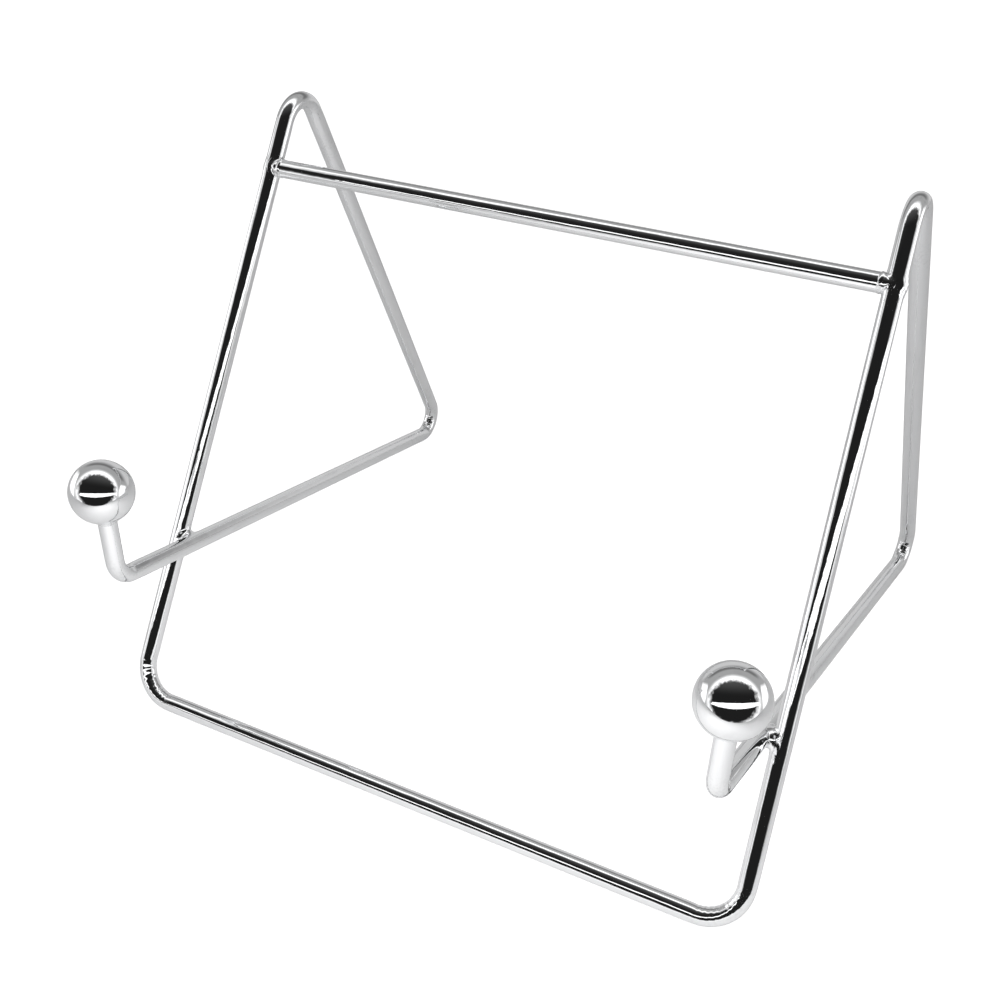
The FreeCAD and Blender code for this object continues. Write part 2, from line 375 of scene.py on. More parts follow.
class Graph:
    """A node tree that is built by short calls."""

    def __init__(self, tree: bpy.types.NodeTree) -> None:
        """Empty a tree and take it over."""
        self.tree = tree
        tree.nodes.clear()

    def node(
            self, kind: str, settings: dict | None = None, inputs: dict | None = None
    ) -> bpy.types.Node:
        """Add one node.

        Args:
            kind: the node's type name.
            settings: the node's own properties, set before anything is linked.
            inputs: a value, Signal or socket for each named or numbered input.

        Returns:
            The new node.
        """
        made = self.tree.nodes.new(kind)
        for name, value in (settings or {}).items():
            setattr(made, name, value)
        for key, value in (inputs or {}).items():
            if isinstance(value, Signal):
                value = value.socket
            if isinstance(value, Socket):
                self.tree.links.new(value, made.inputs[key])
            else:
                made.inputs[key].default_value = value
        return made

    def vector_math(self, operation: str, *values: Socket | Triple) -> bpy.types.Node:
        """Add a Vector Math node that works on the given vectors."""
        return self.node("ShaderNodeVectorMath", {"operation": operation}, dict(enumerate(values)))

    def scaled(self, vector: Socket, by: Triple) -> Socket:
        """A vector multiplied part by part."""
        return self.vector_math("MULTIPLY", vector, by).outputs[0]

    def in_mm(self, place: Socket) -> Socket:
        """A place in metres, told in millimetres."""
        return self.scaled(place, (1 / MM, 1 / MM, 1 / MM))

    def dot(self, vector: Socket, way: Iterable[float]) -> Signal:
        """How far a vector reaches along a fixed direction."""
        return Signal(self, self.vector_math("DOT_PRODUCT", vector, tuple(way)).outputs["Value"])

    def noise(self, vector: Socket, scale: float, detail: float) -> Signal:
        """Smooth noise from 0 to 1, centred near one half."""
        inputs = {"Vector": vector, "Scale": scale, "Detail": detail}
        return Signal(self, self.node("ShaderNodeTexNoise", {}, inputs).outputs[0])

    def cells(self, vector: Socket, scale: float) -> tuple[Signal, Signal]:
        """Scatter points in space.

        Args:
            vector: the place.
            scale: cells in a unit of length.

        Returns:
            The distance to the nearest point, and a number of that point's own from 0 to 1.
        """
        made = self.node("ShaderNodeTexVoronoi", {}, {"Vector": vector, "Scale": scale})
        split = self.node("ShaderNodeSeparateColor", {}, {0: made.outputs["Color"]})
        return Signal(self, made.outputs["Distance"]), Signal(self, split.outputs[0])

    def blend(self, amount: Signal, low: Triple, high: Triple) -> Socket:
        """A colour between low, where amount is 0, and high, where it is 1."""
        inputs = {0: amount, 6: (*low, 1.0), 7: (*high, 1.0)}
        return self.node("ShaderNodeMix", {"data_type": "RGBA"}, inputs).outputs[2]

    def bump(self, height_in_mm: Signal) -> Socket:
        """The surface normal that a height in millimetres gives."""
        inputs = {"Strength": 1.0, "Distance": MM, "Height": height_in_mm}
        return self.node("ShaderNodeBump", {}, inputs).outputs[0]

    def show(self, shader: bpy.types.Node) -> None:
        """Make a shader the material's surface."""
        self.node("ShaderNodeOutputMaterial", {}, {"Surface": shader.outputs[0]})


def new_material(name: str) -> tuple[bpy.types.Material, Graph]:
    """Make a material without any nodes.

    Args:
        name: its name.

    Returns:
        The material and its graph.
    """
    made = bpy.data.materials.new(name)
    made.use_nodes = True
    return made, Graph(made.node_tree)


# ---- finishes --------------------------------------------------------------------------------


@dataclass(frozen=True)
class ChromePlate:
    """Bright chrome plate: what every finish of the stand starts from."""

    name: str = "chrome_plate"
    bright: Triple = (0.915, 0.92, 0.93)
    dull: Triple = (0.62, 0.62, 0.625)
    roughness: float = 0.022
    haze: float = 0.05
    smear_dullness: float = 0.22
    pits_per_mm: float = 0.8
    pit_share: float = 0.08
    pit_depth: float = 0.006
    pit_dullness: float = 0.7
    pit_haze: float = 0.2

    def material(self) -> bpy.types.Material:
        """Build the material.

        Returns:
            A new material with this finish's nodes.
        """
        made, graph = new_material(self.name)
        tired, roughness, height = self.surface(graph)
        inputs = {
            "Base Color": graph.blend(tired.least(1.0), self.bright, self.dull),
            "Metallic": 1.0,
            "Roughness": roughness,
            "Normal": graph.bump(height),
        }
        graph.show(graph.node("ShaderNodeBsdfPrincipled", {}, inputs))
        return made

    def surface(self, graph: Graph) -> tuple[Signal, Signal, Signal]:
        """How dull the plate is, its roughness and its height; each finish has its own."""
        raise NotImplementedError

    def pits(self, graph: Graph, place: Socket) -> Signal:
        """Scatter tiny round pits in the plate.

        Args:
            graph: the material's nodes.
            place: coordinates in millimetres.

        Returns:
            1 in the middle of a pit and 0 between the pits.
        """
        distance, own = graph.cells(place, self.pits_per_mm)
        chosen = own.rise(1 - self.pit_share, 1 - self.pit_share * 0.6)
        return distance.fall(0.05, 0.16) * chosen


@dataclass(frozen=True)
class DrawnWirePlate(ChromePlate):
    """Plate over drawn wire: faint lines along the wire, a soft waviness and a few pits."""

    name: str = "plated_drawn_wire"
    wave_scale: Triple = (0.16, 0.16, 0.11)
    wave_height: float = 0.085
    ripple_scale: Triple = (0.55, 0.55, 0.24)
    ripple_height: float = 0.03
    line_scale: Triple = (5.0, 5.0, 0.05)
    line_height: float = 0.0016
    smear_scale: Triple = (0.5, 0.5, 0.06)
    peel_scale: float = 1.1
    peel_height: float = 0.022
    peel_dullness: float = 0.3
    peel_haze: float = 0.09
    pit_stretch: Triple = (1.0, 1.0, 0.6)

    def surface(self, graph: Graph) -> tuple[Signal, Signal, Signal]:
        """Lay the pattern of plated wire along the straightened wire.

        Args:
            graph: the material's nodes.

        Returns:
            How dull the plate is, its roughness and its height.
        """
        place = graph.node("ShaderNodeAttribute", {"attribute_name": PLACE}).outputs["Vector"]
        worked = graph.node("ShaderNodeAttribute", {"attribute_name": WORKED}).outputs["Fac"]
        worked = Signal(graph, worked)
        in_mm = graph.in_mm(place)
        wave = graph.noise(graph.scaled(in_mm, self.wave_scale), 1.0, 1.0)
        ripple = graph.noise(graph.scaled(in_mm, self.ripple_scale), 1.0, 1.0)
        lines = graph.noise(graph.scaled(in_mm, self.line_scale), 1.0, 2.0)
        smear = graph.noise(graph.scaled(in_mm, self.smear_scale), 1.0, 3.0)
        peel = graph.noise(in_mm, self.peel_scale, 2.0)
        pits = self.pits(graph, graph.scaled(in_mm, self.pit_stretch))
        tired = smear.rise(0.52, 0.78) * self.smear_dullness + pits * self.pit_dullness
        tired = tired + worked * peel.rise(0.45, 0.7) * self.peel_dullness
        roughness = self.roughness + smear.rise(0.4, 0.8) * self.haze
        roughness = roughness + worked * peel * self.peel_haze + pits * self.pit_haze
        height = wave * self.wave_height + ripple * self.ripple_height + lines * self.line_height
        height = height + worked * peel * self.peel_height - pits * self.pit_depth
        return tired, roughness, height


@dataclass(frozen=True)
class PolishedBallPlate(ChromePlate):
    """Plate over a turned and polished ball: almost still, with a fine peel and hair scratches."""

    name: str = "plated_polished_ball"
    roughness: float = 0.018
    haze: float = 0.035
    smear_dullness: float = 0.18
    pits_per_mm: float = 0.7
    pit_share: float = 0.06
    pit_depth: float = 0.005
    pit_dullness: float = 0.6
    wave_scale: float = 0.12
    wave_height: float = 0.03
    peel_scale: float = 0.75
    peel_height: float = 0.006
    smear_scale: float = 0.22
    scratch_scale: Triple = (9.0, 0.5, 3.0)
    scratch_height: float = 0.0006
    scratch_haze: float = 0.03

    def surface(self, graph: Graph) -> tuple[Signal, Signal, Signal]:
        """Lay the pattern of a plated ball.

        Args:
            graph: the material's nodes.

        Returns:
            How dull the plate is, its roughness and its height.
        """
        in_mm = graph.in_mm(graph.node("ShaderNodeTexCoord").outputs["Object"])
        wave = graph.noise(in_mm, self.wave_scale, 1.0)
        peel = graph.noise(in_mm, self.peel_scale, 2.0)
        smear = graph.noise(in_mm, self.smear_scale, 4.0)
        scratch = graph.noise(graph.scaled(in_mm, self.scratch_scale), 1.0, 1.0)
        pits = self.pits(graph, in_mm)
        tired = smear.rise(0.5, 0.8) * self.smear_dullness + pits * self.pit_dullness
        roughness = self.roughness + smear.rise(0.4, 0.75) * self.haze
        roughness = roughness + scratch.rise(0.62, 0.74) * self.scratch_haze + pits * self.pit_haze
        height = wave * self.wave_height + peel * self.peel_height
        height = height + scratch * self.scratch_height - pits * self.pit_depth
        return tired, roughness, height


@dataclass(frozen=True)
class WeldPlate(ChromePlate):
    """Plate over weld metal: lumpy, hazier, with darker pits where the plate is thin."""

    name: str = "plated_weld_metal"
    roughness: float = 0.05
    haze: float = 0.14
    smear_dullness: float = 0.45
    pits_per_mm: float = 1.4
    pit_share: float = 0.3
    pit_depth: float = 0.03
    pit_dullness: float = 0.8
    pit_haze: float = 0.25
    lump_scale: float = 0.9
    lump_height: float = 0.03
    grain_scale: float = 3.2
    grain_height: float = 0.004
    smear_scale: float = 0.5

    def surface(self, graph: Graph) -> tuple[Signal, Signal, Signal]:
        """Lay the pattern of plated weld metal.

        Args:
            graph: the material's nodes.

        Returns:
            How dull the plate is, its roughness and its height.
        """
        in_mm = graph.in_mm(graph.node("ShaderNodeTexCoord").outputs["Object"])
        lumps = graph.noise(in_mm, self.lump_scale, 2.0)
        grain = graph.noise(in_mm, self.grain_scale, 3.0)
        pits = self.pits(graph, in_mm)
        smear = graph.noise(in_mm, self.smear_scale, 3.0)
        tired = smear.rise(0.45, 0.7) * self.smear_dullness + pits * self.pit_dullness
        roughness = self.roughness + grain * self.haze + pits * self.pit_haze
        height = lumps * self.lump_height + grain * self.grain_height - pits * self.pit_depth
        return tired, roughness, height


# ---- shapes that several pieces share --------------------------------------------------------


def bell(distance: float, width: float) -> float:
    """A smooth bump of height 1 that dies away over a width."""
    return math.exp(-((distance / width) ** 2))


def within(value: float, low: float, high: float) -> float:
    """The value, moved to the nearer limit where it lies outside them."""
    return max(low, min(high, value))


def verts_of(geometry: Iterable) -> list[bmesh.types.BMVert]:
    """Only the points among the items that an operator gives back."""
    return [item for item in geometry if isinstance(item, bmesh.types.BMVert)]


def placed(at: Vector, way: Vector) -> Matrix:
    """The matrix that stands a shape at a point with its Z along a direction."""
    return Matrix.Translation(at) @ way.to_track_quat("Z", "X").to_matrix().to_4x4()


def full_turn(mesh: bmesh.types.BMesh, steps: int) -> None:
    """Spin a whole half profile once round Z and close its poles.

    Args:
        mesh: the bmesh that holds only the profile.
        steps: how many steps the turn takes.
    """
    bmesh.ops.spin(
        mesh,
        geom=mesh.verts[:] + mesh.edges[:],
        cent=(0, 0, 0),
        axis=(0, 0, 1),
        angle=2 * math.pi,
        steps=steps,
        use_merge=True,
    )
    bmesh.ops.remove_doubles(mesh, verts=mesh.verts[:], dist=POLE_GAP)


def new_object(
        name: str, mesh: bmesh.types.BMesh, material: bpy.types.Material) -> bpy.types.Object:
    """Turn a bmesh into an object of the scene.

    Args:
        name: the object's name.
        mesh: its shape, in its final place; it is freed.
        material: its material.

    Returns:
        The new object.
    """
    data = bpy.data.meshes.new(name)
    mesh.to_mesh(data)
    mesh.free()
    data.materials.append(material)
    made = bpy.data.objects.new(name, data)
    bpy.context.scene.collection.objects.link(made)
    return made


# ---- bending wire ----------------------------------------------------------------------------


class WireBench:
    """Makes round wire ring by ring, and keeps each point's place on the straightened wire."""

    def __init__(self, radius: float, sides: int = 48) -> None:
        """Set up an empty mesh.

        Args:
            radius: the wire's radius.
            sides: how many points make up one ring.
        """
        self.radius = radius
        self.sides = sides
        self.mesh = bmesh.new()
        self.place = self.mesh.verts.layers.float_vector.new(PLACE)
        self.worked = self.mesh.verts.layers.float.new(WORKED)
        self.outwards = self.mesh.verts.layers.float_vector.new("outwards")
        self.along = 0.0
        self.at = Vector()
        self.verts: list[bmesh.types.BMVert] = []
        self.edges: list[bmesh.types.BMEdge] = []

    def start(self, at: Vector, way: Vector) -> None:
        """Lay down the wire's first ring and close it.

        Args:
            at: the middle of the ring.
            way: the direction in which the wire goes on.
        """
        turned = placed(at, way)
        ring = bmesh.ops.create_circle(
            self.mesh, cap_ends=False, segments=self.sides, radius=self.radius, matrix=turned
        )["verts"]
        self.at = at.copy()
        for vert in ring:
            local = turned.inverted() @ vert.co
            vert[self.place] = Vector((local.x, local.y, self.along))
            vert[self.outwards] = (vert.co - at).normalized()
        self._keep_ring(ring)
        self.close(-way)
        self._keep_ring(ring)

    def _keep_ring(self, verts: list[bmesh.types.BMVert]) -> None:
        """Take some points as the ring that the wire grows from.

        Args:
            verts: the ring's points.
        """
        ring = set(verts)
        self.verts = verts
        self.edges = [
            edge
            for edge in {edge for vert in verts for edge in vert.link_edges}
            if all(vert in ring for vert in edge.verts)
        ]

    def run(self, to: Vector, step: float) -> None:
        """Carry the wire straight on.

        Args:
            to: where its axis ends.
            step: about how far apart the rings are.
        """
        way = to - self.at
        verts = verts_of(bmesh.ops.extrude_edge_only(self.mesh, edges=self.edges)["geom"])
        bmesh.ops.translate(self.mesh, vec=way, verts=verts)
        self._keep_ring(verts)
        self.at = to.copy()
        self.along += way.length
        for vert in verts:
            vert[self.place] = vert[self.place] + Z_AXIS * way.length
        ring = set(self.edges)
        long_edges = [edge for vert in verts for edge in vert.link_edges if edge not in ring]
        cuts = max(1, round(way.length / step)) - 1
        bmesh.ops.subdivide_edges(self.mesh, edges=long_edges, cuts=cuts, use_grid_fill=True)

    def turn(self, bend: Bend, step: float) -> None:
        """Carry the wire round a bend.

        Args:
            bend: the arc to follow.
            step: about how far apart the rings are on the axis.
        """
        before = len(self.mesh.verts)
        made = bmesh.ops.spin(
            self.mesh,
            geom=self.edges,
            cent=bend.centre,
            axis=bend.axis,
            angle=bend.turn,
            steps=max(2, round(bend.turn * bend.radius / step)),
            use_merge=False,
        )["geom_last"]
        self._keep_ring(verts_of(made))
        first = self.at - bend.centre
        self.mesh.verts.ensure_lookup_table()
        for vert in self.mesh.verts[before:]:
            spoke = vert.co - bend.centre
            angle = math.atan2(bend.axis.dot(first.cross(spoke)), first.dot(spoke))
            axis_point = bend.centre + Matrix.Rotation(angle, 3, bend.axis) @ first
            vert[self.outwards] = (vert.co - axis_point).normalized()
            vert[self.place] = vert[self.place] + Z_AXIS * angle * bend.radius
        self.at = bend.centre + Matrix.Rotation(bend.turn, 3, bend.axis) @ first
        self.along += bend.turn * bend.radius

    def close(self, way: Vector, chamfer: float = 0.3 * MM) -> None:
        """Close the wire's end with a small chamfer and a flat face.

        Args:
            way: the direction that the end faces.
            chamfer: width and height of the chamfer.
        """
        # The chamfer's ring comes first, then two rings that close the flat face.
        for scale, lift in ((1 - chamfer / self.radius, chamfer), (0.5, 0.0), (0.0, 0.0)):
            verts = verts_of(bmesh.ops.extrude_edge_only(self.mesh, edges=self.edges)["geom"])
            middle = sum((vert.co for vert in verts), Vector()) / len(verts)
            for vert in verts:
                vert.co = middle + (vert.co - middle) * scale + way * lift
            self._keep_ring(verts)
        bmesh.ops.remove_doubles(self.mesh, verts=self.verts, dist=SAME_PLACE)


class PieceMaker:
    """Turns finished bmeshes into objects of the scene."""

    def __init__(self, name: str, node: str, slot: Slot, finish: bpy.types.Material) -> None:
        """Say what the piece is.

        Args:
            name: the piece's name.
            node: the CAD node that it stands for.
            slot: the record's material slot; not used.
            finish: its material.
        """
        self.name = name
        self.node = node
        self.slot = slot
        self.finish = finish

    def make(self, mesh: bmesh.types.BMesh) -> bpy.types.Object:
        """Turn a bmesh into the finished piece.

        Args:
            mesh: the shape, in its final place; it is freed.

        Returns:
            The new object, riding on the stand.
        """
        bmesh.ops.recalc_face_normals(mesh, faces=mesh.faces[:])
        for face in mesh.faces:
            face.smooth = True
        piece = new_object(self.name, mesh, self.finish)
        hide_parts(self.node)
        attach(piece, BODY)
        log.info("%s: %d faces, stands for %s", self.name, len(piece.data.polygons), self.node)
        return piece


# A bend marks the wire within this many bend radii of the bend's centre.
BEND_LIMIT = 2.4
WOBBLE_PER_METRE = 400.0
# The lumps in a metre, and the height, of each layer of the weld's grain.
GRAIN_LAYERS = ((900.0, 0.5), (2300.0, 0.3))


@dataclass
class BentWire:
    """The one wire that makes up legs, arms, posts and bottom rail."""

    route: WireRoute
    run_step: float = 2.5 * MM
    bend_step: float = 0.4 * MM
    fine_step: float = 0.25 * MM
    fine_reach: float = 7.0 * MM
    flattening: float = 0.09 * MM
    flattening_fade: float = 2.0 * MM
    bend_worked: float = 0.8
    tool_depth: float = 0.033 * MM
    tool_pitch: float = 2.0 * MM
    tool_wobble: float = 1.2
    tool_spread: float = 0.7
    tool_wrap: float = 0.35
    spot_height: float = 0.6 * MM
    spot_length: float = 2.3 * MM
    spot_width: float = 1.7 * MM
    spot_unevenness: float = 0.55
    ring_height: float = 0.11 * MM
    ring_length: float = 3.4 * MM
    ring_width: float = 1.6 * MM
    ring_softness: float = 0.22
    ring_fullness: float = 0.9
    ring_unevenness: float = 0.6
    ring_facing: Pair = (0.45, -0.89)
    weld_worked: float = 3.5 * MM
    weld_limit: float = 9.0 * MM

    def build(self, finish: bpy.types.Material) -> bpy.types.Object:
        """Bend the wire and dress it.

        Args:
            finish: the material of plated wire.

        Returns:
            The finished piece.
        """
        sizes = self.route.sizes
        corners = self.route.corners()
        bench = WireBench(sizes.wire_radius)
        bench.start(corners[0].point, (corners[1].point - corners[0].point).normalized())
        bends = []
        for before, corner, after in zip(corners, corners[1:], corners[2:]):
            bend = Bend(before.point, corner, after.point)
            self._run(bench, bend.start)
            bench.turn(bend, self.bend_step)
            bends.append(bend)
        bench.run(corners[-1].point, self.run_step)
        bench.close((corners[-1].point - corners[-2].point).normalized())
        self._work(bench, bends)
        bench.mesh.verts.layers.float_vector.remove(bench.outwards)
        maker = PieceMaker("bent_wire", "frame_wire", Slot.WIRE, finish)
        return maker.make(bench.mesh)

    def _run(self, bench: WireBench, to: Vector) -> None:
        """Carry the wire straight to a point, with fine rings where the bar is welded on.

        Args:
            bench: the bench that holds the wire.
            to: where the wire's axis ends.
        """
        way = to - bench.at
        for side in Side:
            joint = self.route.bar_point(side)
            share = (joint - bench.at).dot(way) / way.length_squared
            if 0 < share < 1 and (bench.at + way * share - joint).length < MM:
                direction = way.normalized()
                bench.run(joint - direction * self.fine_reach, self.run_step)
                bench.run(joint + direction * self.fine_reach, self.fine_step)
        bench.run(to, self.run_step)

    def _work(self, bench: WireBench, bends: list[Bend]) -> None:
        """Raise and dent the wire where tools and welding have touched it.

        Args:
            bench: the bench that holds the wire.
            bends: every bend of the wire.
        """
        radius = self.route.sizes.wire_radius
        for vert in bench.mesh.verts:
            outwards = vert[bench.outwards]
            axis_point = vert.co - outwards * radius
            marks = [self._bend_relief(bend, axis_point, outwards) for bend in bends]
            marks += [self._weld_relief(side, axis_point, outwards, vert.co) for side in Side]
            vert.co = vert.co + outwards * sum(lift for lift, worked in marks)
            vert[bench.worked] = max(worked for lift, worked in marks)

    def _bend_relief(self, bend: Bend, axis_point: Vector, outwards: Vector) -> Pair:
        """How a bend changes the wire's surface at one point.

        Args:
            bend: the bend.
            axis_point: the point's foot on the wire's axis.
            outwards: the point's direction away from the axis.

        Returns:
            The height added to the surface, and how worked the surface is from 0 to 1.
        """
        to_centre = bend.centre - axis_point
        if to_centre.length > bend.radius * BEND_LIMIT:
            return 0.0, 0.0
        inner = (to_centre - bend.axis * to_centre.dot(bend.axis)).normalized()
        facing = outwards.dot(inner)
        turned = inner.angle(bend.inwards)
        along = min(turned, math.pi - turned) * bend.radius
        length = bend.turn * bend.radius
        share = bell(max(0.0, along - length / 2), self.flattening_fade)
        lift = -self.flattening * facing * facing * share
        if bend.name in ("foot", "rail"):
            wobble = noise.noise(axis_point * WOBBLE_PER_METRE) * self.tool_wobble
            stroke = math.sin(2 * math.pi * along / self.tool_pitch + wobble)
            inside = max(0.0, facing + self.tool_wrap)
            lift += self.tool_depth * stroke * bell(along, length * self.tool_spread) * inside
        return lift, share * self.bend_worked

    def _weld_relief(
            self, side: Side, axis_point: Vector, outwards: Vector, point: Vector) -> Pair:
        """How the cross bar's weld changes the leg's surface at one point.

        Args:
            side: which leg.
            axis_point: the point's foot on the wire's axis.
            outwards: the point's direction away from the axis.
            point: the point itself.

        Returns:
            The height added to the surface, and how worked the surface is from 0 to 1.
        """
        from_joint = axis_point - self.route.bar_point(side)
        if from_joint.length > self.weld_limit:
            return 0.0, 0.0
        radius = self.route.sizes.wire_radius
        along = from_joint.dot(self.route.leg_way(side))
        out = outwards.x * side.value
        front = self.ring_facing[0] * out + self.ring_facing[1] * outwards.y
        from_spot = math.acos(within(out, -1.0, 1.0)) * radius
        from_ring = math.acos(within(front, -1.0, 1.0)) * radius
        grain = sum(noise.noise(point * lumps) * height for lumps, height in GRAIN_LAYERS)
        spot = bell(along, self.spot_length) * bell(from_spot, self.spot_width)
        oval = math.hypot(along / self.ring_length, from_ring / self.ring_width)
        ring = bell(oval - 1.0, self.ring_softness)
        lift = self.spot_height * spot * (1.0 + self.spot_unevenness * grain)
        lift += self.ring_height * ring * (self.ring_fullness + self.ring_unevenness * grain)
        return lift, bell(along, self.weld_worked)


@dataclass
class CrossBar:
    """The straight bar between the front legs, its ends shaped to fit round them."""

    route: WireRoute
    run_step: float = 2.5 * MM
    fine_step: float = 0.5 * MM
    fine_reach: float = 6.0 * MM
    seat_depth: float = 0.1 * MM
    cope_reach: float = 0.8 * MM
    heat_reach: float = 7.0 * MM
    pattern_start: float = 3.0

    def build(self, finish: bpy.types.Material) -> bpy.types.Object:
        """Cut the bar, cope its ends and dress it.

        Args:
            finish: the material of plated wire.

        Returns:
            The finished piece.
        """
        radius = self.route.sizes.wire_radius
        left = self.route.bar_point(Side.LEFT)
        right = self.route.bar_point(Side.RIGHT)
        bench = WireBench(radius)
        bench.along = self.pattern_start
        bench.start(left + X_AXIS * radius, X_AXIS)
        bench.run(left + X_AXIS * (radius + self.fine_reach), self.fine_step)
        bench.run(right - X_AXIS * (radius + self.fine_reach), self.run_step)
        bench.run(right - X_AXIS * radius, self.fine_step)
        bench.close(X_AXIS)
        for vert in bench.mesh.verts:
            side = Side.LEFT if vert.co.x < 0 else Side.RIGHT
            from_end = abs(vert.co.x - self.route.bar_point(side).x)
            vert[bench.worked] = bell(from_end, self.heat_reach)
            if from_end < radius + self.cope_reach:
                self._cope(vert, side, from_end)
        bench.mesh.verts.layers.float_vector.remove(bench.outwards)
        maker = PieceMaker("cross_bar_wire", "cross_bar", Slot.WIRE, finish)
        return maker.make(bench.mesh)

    def _cope(self, vert: bmesh.types.BMVert, side: Side, from_end: float) -> None:
        """Move a point near the bar's end so that the end follows the leg's round side.

        Args:
            vert: the point.
            side: the leg at this end.
            from_end: its distance from the leg's axis along the bar.
        """
        radius = self.route.sizes.wire_radius
        joint = self.route.bar_point(side)
        leg = self.route.leg_way(side)
        offset = vert.co - joint
        offset.x = 0.0
        beside = offset - leg * offset.dot(leg)
        depth = math.sqrt(max(0.0, (radius - self.seat_depth) ** 2 - beside.length_squared))
        drift = leg.x * offset.dot(leg)
        share = within(1 - (from_end - radius) / self.cope_reach, 0.0, 1.0)
        fitted = joint.x + drift - side.value * depth
        vert.co.x = vert.co.x * (1 - share) + fitted * share


@dataclass
class Ball:
    """The polished ball on the end of a post, with the blind bore that takes the wire."""

    route: WireRoute
    side: Side
    profile_steps: int = 72
    turns: int = 144

    def build(self, finish: bpy.types.Material) -> bpy.types.Object:
        """Turn the ball and set it on its post.

        Args:
            finish: the material of the plated ball.

        Returns:
            The finished piece.
        """
        sizes = self.route.sizes
        radius = sizes.ball_radius
        bore = sizes.wire_radius + sizes.bore_play
        mouth = math.pi - math.asin(bore / radius)
        mesh = bmesh.new()
        top = mesh.verts.new((0, 0, radius))
        made = bmesh.ops.spin(
            mesh, geom=[top], cent=(0, 0, 0), axis=(0, 1, 0), angle=mouth, steps=self.profile_steps
        )
        last = verts_of(made["geom_last"])[0]
        for point in ((bore, 0, sizes.bore_gap), (0, 0, sizes.bore_gap)):
            last = bmesh.ops.extrude_vert_indiv(mesh, verts=[last])["verts"][0]
            last.co = point
        full_turn(mesh, self.turns)
        on_post = placed(self.route.sides[self.side]["ball"], self.route.post_way(self.side))
        bmesh.ops.transform(mesh, matrix=on_post, verts=mesh.verts[:])
        word = self.side.word
        return PieceMaker(f"polished_ball_{word}", f"ball_{word}", Slot.BALL, finish).make(mesh)


@dataclass
class BallBraze:
    """The ring of braze that closes the joint between a ball and its post."""

    route: WireRoute
    side: Side
    turns: int = 120
    slope_cuts: int = 9
    bite: float = 0.05 * MM
    hollow: float = 0.22 * MM
    unevenness: float = 0.12 * MM
    lumps_per_metre: float = 650.0

    def build(self, finish: bpy.types.Material) -> bpy.types.Object:
        """Run the ring of braze round the post.

        Args:
            finish: the material of plated weld metal.

        Returns:
            The finished piece.
        """
        sizes = self.route.sizes
        inner = sizes.wire_radius
        outer = inner + sizes.braze_leg
        top_inner = -math.sqrt(sizes.ball_radius ** 2 - inner ** 2)
        top_outer = -math.sqrt(sizes.ball_radius ** 2 - outer ** 2)
        foot = top_inner - sizes.braze_leg
        mesh = bmesh.new()
        outline = ((inner, 0, foot), (outer, 0, top_outer), (inner - self.bite, 0, top_inner))
        corners = [mesh.verts.new(point) for point in outline]
        slope = mesh.edges.new(corners[:2])
        mesh.edges.new(corners[1:])
        mesh.edges.new((corners[2], corners[0]))
        start = corners[0].co.copy()
        way = corners[1].co - start
        hollow_way = Vector((-way.z, 0, way.x)).normalized()
        made = bmesh.ops.subdivide_edges(mesh, edges=[slope], cuts=self.slope_cuts)
        for vert in verts_of(made["geom_inner"]):
            share = (vert.co - start).dot(way) / way.length_squared
            vert.co = vert.co + hollow_way * self.hollow * math.sin(math.pi * share)
        full_turn(mesh, self.turns)
        for vert in mesh.verts:
            flat = Vector((vert.co.x, vert.co.y, 0))
            clear = max(0.0, flat.length - inner) / sizes.braze_leg
            lump = noise.noise(vert.co * self.lumps_per_metre + X_AXIS * self.side.value)
            vert.co = vert.co + flat.normalized() * lump * self.unevenness * min(1.0, clear * 2)
        on_post = placed(self.route.sides[self.side]["ball"], self.route.post_way(self.side))
        bmesh.ops.transform(mesh, matrix=on_post, verts=mesh.verts[:])
        word = self.side.word
        return PieceMaker(
            f"ball_neck_braze_{word}", f"ball_braze_{word}", Slot.WELD, finish).make(mesh)


@dataclass(frozen=True)
class Rod:
    """An endless round rod, for working out where weld metal runs."""

    through: Vector
    way: Vector
    radius: float

    def clearance(self, points: np.ndarray) -> np.ndarray:
        """Measure how far points are from the rod's surface.

        Args:
            points: one point to a row.

        Returns:
            One distance for each point, negative inside the rod.
        """
        offset = points - np.array(self.through)
        way = np.array(self.way)
        beside = offset - np.outer(offset @ way, way)
        return np.linalg.norm(beside, axis=1) - self.radius


class BeadShape(Enum):
    """How the weld metal lies before it flows into the corners."""

    BALL = "ball"
    RING = "ring"


# How often the search for a bead's surface halves its range.
HALVINGS = 26
# The direction and the height of each wave that makes a bead uneven.
LUMP_WAVES = (
    ((1.9, 2.3, -1.1), 1.0),
    ((-2.7, 1.2, 2.9), 1.0),
    ((3.7, -3.1, 4.3), 0.7),
)


